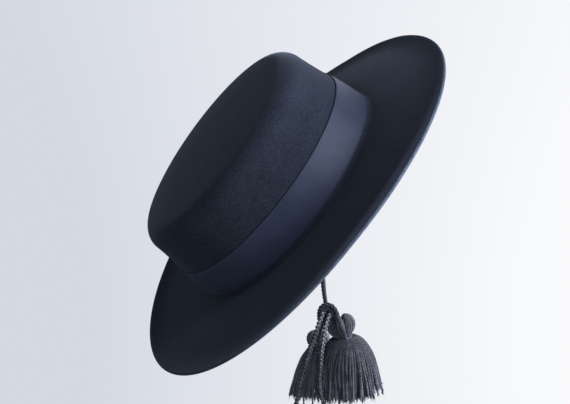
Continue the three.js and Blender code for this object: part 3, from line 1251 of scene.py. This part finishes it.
@dataclass
class ChinCord:
    """The loop under the chin, from the right tab through the knot to the left tab."""

    diameter: float = 3.2 * MM
    length: float = 0.3
    knot_cord: float = 3.6 * MM
    coil_cord: float = 2.5 * MM
    coil_middle: tuple = (0.0072, -0.0814, -0.0796)
    coil_radius: float = 3.1 * MM
    coil_height: float = 8.8 * MM
    coil_turns: float = 4
    coil_points: int = 23
    cord_shade: float = -0.2
    arch_shade: float = 0.6
    coil_shade: float = 0.3
    route: np.ndarray = field(
        default_factory=lambda: millimetres(
            (-0.6, -81.5, 3), (0, -81.6, -8), (0.6, -81.7, -19), (1.3, -81.8, -30),
            (2, -81.9, -41), (2.9, -82, -52), (4.2, -82, -63), (5.5, -82, -71),
            (6.5, -81.4, -74.8), (7.7, -79.4, -77.5), (9.5, -76.3, -79.4), (13.2, -65, -82.5),
            (16.4, -55, -84.3), (19.5, -45, -85.7), (23.4, -33, -86.7), (27.5, -20, -86.5),
            (30.8, -10, -85.1), (33.9, 0, -82.2), (36, 11, -77.3), (36.3, 22, -70.7),
            (34.3, 33, -62.6), (30.3, 43, -53.8), (25, 52, -44.8), (19.1, 60, -35.6),
            (13, 67.5, -26), (7.3, 74, -16.2), (2.4, 79.3, -6.6), (-0.4, 81.2, 2.6),
        )
    )  # fmt: skip
    arches: tuple = (
        millimetres(
            (1.6, -79.5, -85.8), (0.5, -82, -81), (0.1, -84.5, -76.4), (1.2, -86.6, -72.9),
            (3.7, -88, -71.3), (6.7, -89, -71.4), (9.2, -90.2, -73.2), (10.9, -91.6, -76),
            (11.7, -93.5, -79.1), (12.3, -96, -82),
        ),
        millimetres(
            (2.3, -83, -83.8), (1.7, -85, -79.4), (2.5, -86.6, -76.1), (4.4, -87.6, -74.7),
            (6.7, -88.4, -75), (8.7, -89.4, -76.8), (10.1, -91, -79.4), (10.9, -93.4, -81.6),
        ),
    )  # fmt: skip

    def knot(self) -> bpy.types.Mesh:
        """Hitches the tassels' cord, taken double, over the chin cord, with turns round it.

        Returns:
            The knot's mesh.
        """
        arches = [
            CORD_LAY.cord("arch", arch, self.knot_cord, self.arch_shade)[0] for arch in self.arches
        ]
        middle = np.array(self.coil_middle)
        sizes = self.coil_radius, self.coil_height, self.coil_turns
        coil = helix(middle, *sizes, self.coil_points)
        turns, _ = CORD_LAY.cord("turns", coil, self.coil_cord, self.coil_shade)
        return joined("knot", [*arches, turns])

    def build(self, finish: bpy.types.Material) -> None:
        """Makes the cord and its knot.

        Args:
            finish: the cords' material.
        """
        mesh, line = CORD_LAY.cord("cord", self.route, self.diameter, self.cord_shade)
        cord = finished_piece(
            "chin_cord", mesh, finish, ("chin_cord_right", "chin_cord_left")
        )
        knot = finished_piece("chin_cord_knot", self.knot(), finish, ("cord_knot",))
        LOG.info("chin cord: %.4f m", line_length(line))


@dataclass
class CordTab:
    """A folded tab inside the crown that holds one end of the chin cord."""

    name: str
    side: int
    width: float = 9 * MM
    length: float = 10 * MM
    thickness: float = 3.9 * MM
    from_middle: float = 79.1 * MM
    forward: float = -0.6 * MM
    foot: float = 3.5 * MM
    wall_lean: float = math.radians(3.6)
    edge_radius: float = 1.3 * MM
    cross_share: float = 0.28
    cross_gap: float = 0.02 * MM
    cross_arch: float = 0.15 * MM
    cross_steps: int = 8
    thread_radius: float = 0.25 * MM

    def mesh(self) -> bpy.types.Mesh:
        """Rounds a block into a folded tab and sews a cross on its inner face.

        Returns:
            The tab's mesh.
        """
        bm = bmesh.new()
        bmesh.ops.create_cube(bm, size=1)
        bmesh.ops.scale(bm, verts=bm.verts, vec=(self.width, self.thickness, self.length))
        rounded(bm, bm.edges[:], self.edge_radius, 4)
        body = bpy.data.meshes.new("tab_body")
        bm.to_mesh(body)
        bm.free()
        face = -self.side * (self.thickness / 2 + self.cross_gap)
        wide, high = self.cross_share * self.width, self.cross_share * self.length
        share = np.linspace(-1, 1, self.cross_steps + 1)
        lift = -self.side * self.cross_arch * (1 - share**2)
        cross = np.array([
            np.column_stack([wide * share, face + lift, slope * high * share]) for slope in (1, -1)
        ])
        tube = Tube(6, self.cross_steps)
        thread = tube.lay("cross", cross, self.thread_radius, facing=(1, 0, 0))
        mesh = joined("tab", [body, thread])
        middle = Vector((0, self.side * self.thickness / 2, self.length / 2))
        place = Vector((self.forward, self.side * self.from_middle, self.foot))
        lean = Matrix.Rotation(self.side * self.wall_lean, 4, "X")
        mesh.transform(Matrix.Translation(place) @ lean @ Matrix.Translation(middle))
        return mesh

    def build(self, finish: bpy.types.Material) -> None:
        """Makes the piece, with its finish."""
        finished_piece(f"{self.name}_tape", self.mesh(), finish, (self.name,))


@dataclass
class BraidedEnd:
    """A free end of flat braid, with a small knot and a short frayed tuft."""

    name: str
    width: float
    length: float
    pitch: float
    route: np.ndarray
    seed: int
    strand_share: float = 0.2
    crossing_height: float = 1.1
    highlight_span: tuple = (0.3, 0.6)
    highlight_strength: float = 1.3
    highlight_least: float = 0.3
    painted_shadow: float = -0.3
    knot_share: float = 0.7
    knot_turns: float = 1.02
    knot_height: float = 1.6
    knot_steps: int = 72
    knot_relief: float = 0.12
    knot_pitch: float = 3 * MM
    gap: float = 0.3 * MM
    tuft_length: float = 6 * MM
    tuft_strands: int = 16
    tuft_steps: int = 6
    tuft_spread: tuple = (0.15, 0.75)
    tuft_flare: float = 0.4
    tuft_reach: tuple = (0.7, 1)
    tuft_light: tuple = (0.2, 1)
    fray_radius: float = 0.28 * MM
    turn_share: float = 0.4
    root_share: float = 0.45
    stem_share: float = 0.35
    steps_in_pitch: int = 20

    def plait(self, line: np.ndarray) -> tuple[np.ndarray, np.ndarray]:
        """Plaits three strands along a line, flat towards the wearer's right.

        The strands that lie on top get a painted highlight, most over the first third of the braid;
        painted shade keeps the rest dark.

        Args:
            line: the braid's middle line.

        Returns:
            The strands' middle lines, 3 x points x 3, and how light each is, 3 x points.
        """
        outward, across = (side[0] for side in carried_frames(line[None], np.array(WEARERS_RIGHT)))
        along = np.linspace(0, line_length(line), len(line))
        turn = FULL_TURN * (along / self.pitch + np.arange(3)[:, None] / 3)[..., None]
        strand = self.strand_share * self.width
        aside = (self.width / 2 - strand) * np.sin(turn) * across
        over = self.crossing_height * strand * np.sin(2 * turn) * outward
        # Painted highlight where a strand lies on top, fading down the braid into painted shade;
        # the painted shadow level darkens every strand where it lies under.
        fade = np.interp(along / along[-1], self.highlight_span, (1, self.highlight_least))
        painted_light = self.highlight_strength * fade * np.maximum(np.sin(2 * turn[..., 0]), 0) ** 2
        return line + aside + over, painted_light + self.painted_shadow

    def end_knot(self, line: np.ndarray) -> bpy.types.Mesh:
        """Ties the end: a threefold knot, and loose strands below it.

        Args:
            line: the braid's middle line.

        Returns:
            The knot's mesh.
        """
        way = unit(line[-1] - line[-4])
        radius = self.knot_share * self.width
        centre = line[-1] + (radius + self.gap) * way
        tube = self.turn_share * radius
        t = np.linspace(0, FULL_TURN * self.knot_turns, self.knot_steps + 1)
        loops = np.column_stack([
            np.sin(t) + 2 * np.sin(2 * t),
            np.cos(t) - 2 * np.cos(2 * t),
            -self.knot_height * np.sin(3 * t),
        ])
        knot = centre + loops * (radius - tube) / 3
        turns = Tube(9, self.knot_steps).lay(
            "turns", knot[None], tube, lobes=3, relief=self.knot_relief, pitch=self.knot_pitch
        )
        rng = np.random.default_rng(self.seed)
        angle = FULL_TURN * np.arange(self.tuft_strands) / self.tuft_strands
        spread = rng.uniform(*self.tuft_spread, self.tuft_strands)
        share = np.linspace(0, 1, self.tuft_steps + 1)
        reach = self.tuft_length * rng.uniform(*self.tuft_reach, self.tuft_strands)
        out = spread[:, None] * share * self.tuft_flare * reach[:, None]
        root = self.root_share * radius
        tuft = np.stack([
            centre[0] + (root + out) * np.cos(angle)[:, None],
            centre[1] + (root + out) * np.sin(angle)[:, None],
            centre[2] - 0.5 * radius - share * reach[:, None],
        ], axis=2)
        tuft[..., :2] += (way[:2] * share[:, None] * self.tuft_length)[None]
        shade = rng.uniform(*self.tuft_light, self.tuft_strands)
        fray = Tube(5, self.tuft_steps).lay("fray", tuft, self.fray_radius, shade=shade)
        tip = smooth_line(np.array([line[-1], centre]), 5)[None]
        stem = Tube(8, 4).lay("stem", tip, self.stem_share * self.width)
        return joined("end", [turns, fray, stem])

    def build(self, finish: bpy.types.Material) -> None:
        """Makes the braid and its end.

        Args:
            finish: the braids' material.
        """
        pitches = line_length(smooth_line(self.route, FINE_POINTS)) / self.pitch
        steps = round(pitches * self.steps_in_pitch)
        line = smooth_line(self.route, steps + 1)
        lines, light = self.plait(line)
        mesh = Tube(8, steps).lay("braid", lines, self.strand_share * self.width, shade=light)
        braid = finished_piece(f"{self.name}_plait", mesh, finish, (self.name,))
        end = finished_piece(
            f"{self.name}_end", self.end_knot(line), finish, (f"{self.name}_knot",)
        )
        LOG.info("%s: %.4f m", self.name, line_length(line))


@dataclass(frozen=True)
class Lobe:
    """One bulge of a tassel's head: yarn that runs from a top to the neck, all round."""

    top: tuple
    middle: tuple
    radius: float
    strands: int
    # How light the lobe's yarn is: painted light, set lobe by lobe to stand in for the light that
    # falls on it.
    light: float


@dataclass
class Tassel:
    """A bundle of yarn on a cord: a lobed head, a bound neck and a flared skirt.

    Each row of the skirt gives a drop below the neck, then how far the skirt reaches there to
    the left, to the right and to the sides that face towards and away from the hat. Each layer
    gives its share of that width and how many strands it has. The light is painted light and
    shade: how light the strands are at the neck and at the hem.
    """

    name: str
    neck: np.ndarray
    hanger: np.ndarray
    cord_length: float
    lobes: tuple[Lobe, ...]
    skirt: np.ndarray
    layers: tuple[tuple[float, int], ...]
    seed: int
    hem_rise: float = 0.0
    light: tuple[float, float] = (-0.32, 0.22)
    variety: float = 0.45
    dark_bias: float = 1.4
    middle_shade: float = 0.4
    cord_diameter: float = 3.1 * MM
    cord_shade: float = 0.7
    yarn_radius: float = 0.92 * MM
    yarn_pitch: float = 5.5 * MM
    yarn_relief: float = 0.2
    neck_radius: float = 5.2 * MM
    skirt_steps: int = 62
    inner_steps: int = 36
    head_steps: int = 30
    lobe_lean: float = 0.9
    lobe_fullness: float = 0.7
    lobe_foot: float = 0.75
    core_share: float = 0.97
    spacing_spread: float = 0.3
    length_spread: float = 0.028
    reach_spread: float = 0.05
    drop_bias: float = 1.3
    most_past: float = 1.2
    stray_share: float = 0.05
    stray_length: tuple = (4, 11)
    clumps: int = 9
    clump: float = 0.08
    drift: float = 0.07
    drift_bias: float = 1.5
    wave: tuple = (0.4, 1.5)
    wave_turns: tuple = (5, 4)
    wisps_on_strand: int = 3
    wisp_length: tuple = (1.2, 3.2)
    wisp_radius: float = 0.22 * MM
    wisp_spread: float = 0.35
    wisp_taper: float = 0.6
    wisp_bend: float = 1.5
    wisp_light: tuple = (0.1, 0.6)
    wrap_radius: float = 6.2 * MM
    wrap_height: float = 2.6 * MM
    wrap_turns: float = 2.6
    wrap_points: int = 97
    wrap_yarn: float = 0.85 * MM
    wrap_shade: float = 0.1

    def yarn_tube(
        self, name: str, lines: np.ndarray, shade: np.ndarray, radius: float | None = None
    ) -> bpy.types.Mesh:
        """Lays two-ply yarn along lines.

        Args:
            name: the mesh's name.
            lines: lines x points x 3.
            shade: how light each line, or each of its points, is.
            radius: the yarn's, if it isn't the tassel's own.

        Returns:
            The yarn's mesh.
        """
        return Tube(6, lines.shape[1] - 1).lay(
            name,
            lines,
            self.yarn_radius if radius is None else radius,
            lobes=2,
            relief=self.yarn_relief,
            pitch=self.yarn_pitch,
            shade=shade,
            facing=(1, 0, 0),
        )

    def skirt_lines(self, layer: int, rng: np.random.Generator) -> np.ndarray:
        """Hangs one layer of the skirt's strands.

        Args:
            layer: which layer, 0 outermost.
            rng: the source of small differences.

        Returns:
            Strands x points x 3.
        """
        top = np.array([0, -self.neck_radius, self.neck_radius, self.neck_radius])
        profile = smooth_line(np.vstack([top, self.skirt]), FINE_POINTS)
        drops = profile[:, 0]
        share, count = self.layers[layer]
        steps = self.inner_steps if layer else self.skirt_steps
        lines = []
        for index in range(count):
            aside = rng.uniform(-self.spacing_spread, self.spacing_spread)
            angle = FULL_TURN * (index + aside) / count
            length = drops[-1] * (1 + rng.normal(0, self.length_spread))
            length *= 1 - self.hem_rise * max(0.0, math.cos(angle)) ** 2
            if rng.random() < self.stray_share:
                length += rng.uniform(*self.stray_length) * MM
            drop = np.linspace(0, 1, steps + 1) ** self.drop_bias * length
            left, right, depth = (np.interp(drop, drops, c) for c in profile[:, 1:].T)
            past = np.clip(drop / drops[-1], 0, self.most_past)
            clump = self.clump * math.sin(self.clumps * angle + 2 * layer)
            angle = angle + (clump + rng.normal(0, self.drift)) * past**self.drift_bias
            wave = rng.uniform(*self.wave) * MM * past
            phase = rng.uniform(0, FULL_TURN)
            reach = share * (1 - abs(rng.normal(0, self.reach_spread)) * past)
            inset = self.yarn_radius * (layer == 0)
            out_x = ((right - left) / 2 - inset) * reach
            out_y = (depth - inset) * reach
            wave_x, wave_y = (phase + turns * past for turns in self.wave_turns)
            lines.append(np.column_stack([
                (left + right) / 2 + out_x * np.cos(angle) + wave * np.sin(wave_x),
                out_y * np.sin(angle) + wave * np.cos(wave_y),
                -drop,
            ]))
        return np.array(lines) + self.neck

    def wisps(self, lines: np.ndarray, rng: np.random.Generator) -> bpy.types.Mesh:
        """Frays the cut ends of the strands.

        Args:
            lines: the skirt's strands.
            rng: the source of small differences.

        Returns:
            The wisps' mesh.
        """
        tips = np.repeat(lines[:, -1], self.wisps_on_strand, axis=0)
        way = np.repeat(unit(lines[:, -1] - lines[:, -4]), self.wisps_on_strand, axis=0)
        aside = rng.normal(0, self.wisp_spread, tips.shape)
        share = np.linspace(0, 1, 4)[:, None]
        reach = rng.uniform(*self.wisp_length, (len(tips), 1, 1)) * MM
        root = (tips + 0.5 * self.yarn_radius * aside)[:, None]
        thin = root + reach * (share * way[:, None] + share**self.wisp_bend * aside[:, None])
        thickness = self.wisp_radius * (1 - self.wisp_taper * share[:, 0])
        shade = rng.uniform(*self.wisp_light, len(tips))
        return Tube(4, 3).lay("wisps", thin, thickness, shade=shade)

    def head_lines(self, lobe: Lobe) -> np.ndarray:
        """Runs the yarn of one lobe from its top round to the neck.

        Args:
            lobe: the lobe.

        Returns:
            Strands x points x 3.
        """
        top, middle = np.array(lobe.top), np.array(lobe.middle)
        spine = smooth_line(np.array([top, middle, self.neck]), self.head_steps + 1)
        share = np.linspace(0, 1, self.head_steps + 1)
        girth = lobe.radius * np.sin(math.pi * share**self.lobe_lean) ** self.lobe_fullness
        foot = self.neck_radius * self.lobe_foot * np.clip(4 * share - 3, 0, 1)
        girth = np.maximum(girth, foot)
        first, second = (side[0] for side in carried_frames(spine[None], np.array([1.0, 0, 0])))
        angles = FULL_TURN * np.arange(lobe.strands) / lobe.strands
        return np.array([
            spine + girth[:, None] * (math.cos(a) * first + math.sin(a) * second) for a in angles
        ])

    def head(self, rng: np.random.Generator) -> list[bpy.types.Mesh]:
        """Makes the head's lobes, each with a core inside its yarn.

        Args:
            rng: the source of small differences.

        Returns:
            The lobes' meshes.
        """
        meshes = []
        for lobe in self.lobes:
            lines = self.head_lines(lobe)
            shade = lobe.light * rng.uniform(0, 1, len(lines)) ** self.dark_bias
            meshes.append(self.yarn_tube("lobe", lines, shade))
            spine = lines.mean(axis=0)[None]
            core = np.linalg.norm(lines[0] - spine[0], axis=1)[None] * self.core_share
            meshes.append(Tube(16, self.head_steps).lay("core", spine, core, shade=np.zeros(1)))
        return meshes

    def binding(self) -> bpy.types.Mesh:
        """Winds yarn round the neck.

        Returns:
            The binding's mesh.
        """
        sizes = self.wrap_radius, self.wrap_height, self.wrap_turns
        coil = helix(self.neck, *sizes, self.wrap_points)
        return self.yarn_tube("binding", coil[None], np.full(1, self.wrap_shade), self.wrap_yarn)

    def build(self, yarn: bpy.types.Material, cord: bpy.types.Material) -> None:
        """Makes the tassel.

        Args:
            yarn: the yarn's material.
            cord: the cord's material.
        """
        rng = np.random.default_rng(self.seed)
        parts = []
        for layer in range(len(self.layers)):
            lines = self.skirt_lines(layer, rng)
            # Painted light and shade along the strands, from the neck to the hem.
            along = np.linspace(*self.light, lines.shape[1])
            drawn = rng.uniform(0, 1, (len(lines), 1)) ** self.dark_bias
            shade = along + self.variety * (drawn - self.middle_shade)
            parts += [self.yarn_tube("skirt", lines, shade), self.wisps(lines, rng)]
        skirt = finished_piece(
            f"{self.name}_skirt", joined("skirt", parts), yarn, (f"{self.name}_yarn",)
        )
        head = finished_piece(
            f"{self.name}_head", joined("head", self.head(rng)), yarn
        )
        wrap = finished_piece(
            f"{self.name}_wrap", self.binding(), yarn, (f"{self.name}_binding",)
        )
        mesh, line = CORD_LAY.cord("hanger", self.hanger, self.cord_diameter, self.cord_shade)
        hanger = finished_piece(
            f"{self.name}_cord", mesh, cord, (f"{self.name}_hanger",)
        )
        LOG.info("%s cord: %.4f m", self.name, line_length(line))


def braided_ends() -> list[BraidedEnd]:
    """Sets out the two free ends.

    Returns:
        The long end and the short one.
    """
    long_route = millimetres(
        (4.3, -84.2, -76.2), (2.7, -86, -77.4), (1, -87.3, -79.6), (-0.6, -87.4, -84.4),
        (-2, -86.6, -89.6), (-3.8, -85.3, -97.2), (-5.7, -84.6, -103.4),
        (-7.5, -84.2, -108.4), (-8.9, -84, -113.3), (-10.3, -84, -117.7), (-11.6, -84, -122.6),
        (-13.1, -84, -127.9), (-14.7, -84, -133.2), (-16.3, -84, -140.6), (-17.9, -84, -148.8),
        (-19.5, -84, -157.5),
    )  # fmt: skip
    short_route = millimetres(
        (8.8, -86.2, -77.2), (7.2, -88.6, -78.7), (5.3, -90.4, -80.7), (3.3, -91.4, -85),
        (1.6, -92.8, -90.8), (0.3, -93.6, -96.3), (-0.7, -94.2, -101.6),
        (-1.6, -94.8, -107), (-2.4, -95.3, -114.2), (-2.9, -95.5, -121.6), (-3.3, -95.5, -129.1),
        (-3.1, -95.5, -135.8), (-2.3, -95.5, -141.8), (-1, -95.5, -147), (1.2, -95.5, -153.5),
    )  # fmt: skip
    return [
        BraidedEnd("braided_end_long", 4.2 * MM, 0.09, 9.8 * MM, long_route, 11),
        BraidedEnd("braided_end_short", 3.6 * MM, 0.084, 9.6 * MM, short_route, 12),
    ]


def tassels() -> list[Tassel]:
    """Sets out the two tassels.

    Returns:
        The front tassel and the rear one.
    """
    front = Tassel(
        name="front_tassel",
        neck=np.array([18.5, -88, -99.3]) * MM,
        hanger=millimetres(
            (11.2, -92, -77.9), (11.6, -95.4, -80.9), (12.4, -97.8, -84.3), (13.7, -98.4, -88.3),
            (16.3, -96.9, -94), (17.6, -94.2, -98), (18.3, -90.5, -103), (18.5, -88.5, -110),
            (18.6, -88, -118),
        ),
        cord_length=0.048,
        lobes=(
            Lobe((0.0108, -0.088, -0.0813), (0.0122, -0.088, -0.0892), 6.9 * MM, 22, 0.75),
            Lobe((0.0191, -0.088, -0.081), (0.0219, -0.0885, -0.0886), 5.4 * MM, 18, 0.4),
        ),
        skirt=millimetres(
            (0.8, -7.6, 12, 8.2), (3.5, -11.2, 16.8, 11), (7, -13.8, 20, 13),
            (15.8, -18, 25.4, 15), (24, -19.8, 28.5, 16), (36, -20.3, 32, 16.8),
            (47.5, -20.3, 35, 17),
        ),
        layers=((1.0, 112), (0.88, 100), (0.68, 70)),
        seed=21,
        hem_rise=0.13,
    )  # fmt: skip
    rear = Tassel(
        name="rear_tassel",
        neck=np.array([6.5, -60, -118]) * MM,
        hanger=millimetres(
            (7.2, -80.5, -80), (7, -79.5, -83.5), (6.2, -77.5, -87.9), (5.9, -74.5, -93.2),
            (5.9, -71, -98.7), (6, -67.5, -104.3), (6.1, -64, -109.9), (6.3, -61.5, -115.1),
            (6.5, -60.3, -120), (6.5, -60, -128),
        ),
        cord_length=0.054,
        lobes=(
            Lobe((0.0042, -0.06, -0.1032), (0.0038, -0.06, -0.1088), 5 * MM, 19, 1.3),
            Lobe((0.0114, -0.063, -0.1034), (0.0116, -0.062, -0.1092), 4.6 * MM, 18, 1.75),
        ),
        skirt=millimetres(
            (0.8, -7.5, 7.5, 7), (3.6, -9.8, 9.8, 8.6), (8.7, -13.5, 13, 10.5),
            (18.6, -18, 16.5, 12.5), (29.5, -21.5, 18, 14), (36.5, -23.2, 18.8, 15),
        ),
        layers=((1.0, 84), (0.86, 72), (0.62, 48)),
        seed=22,
        # Painted light: the rear tassel is made lighter to stand in for light thrown onto it.
        light=(0.75, 1),
        variety=1.5,
        skirt_steps=56,
    )  # fmt: skip
    return [front, rear]


def main() -> None:
    """Builds the scene: camera and cords first, then the hat."""
    logging.basicConfig(level=logging.INFO, format="%(name)s %(message)s")
    Studio().build()
    cord, braid, yarn = (f.material() for f in (CORD_FINISH, BRAID_FINISH, YARN_FINISH))
    ChinCord().build(cord)
    for end in braided_ends():
        end.build(braid)
    for tassel in tassels():
        tassel.build(yarn, cord)
    block = HatBlock()
    FeltBody(block).build()
    RibbonBand(block).build()
    tape = TapeFinish().material()
    CordTab("cord_tab_right", -1).build(tape)
    CordTab("cord_tab_left", 1).build(tape)


if __name__ == "__main__":
    main()
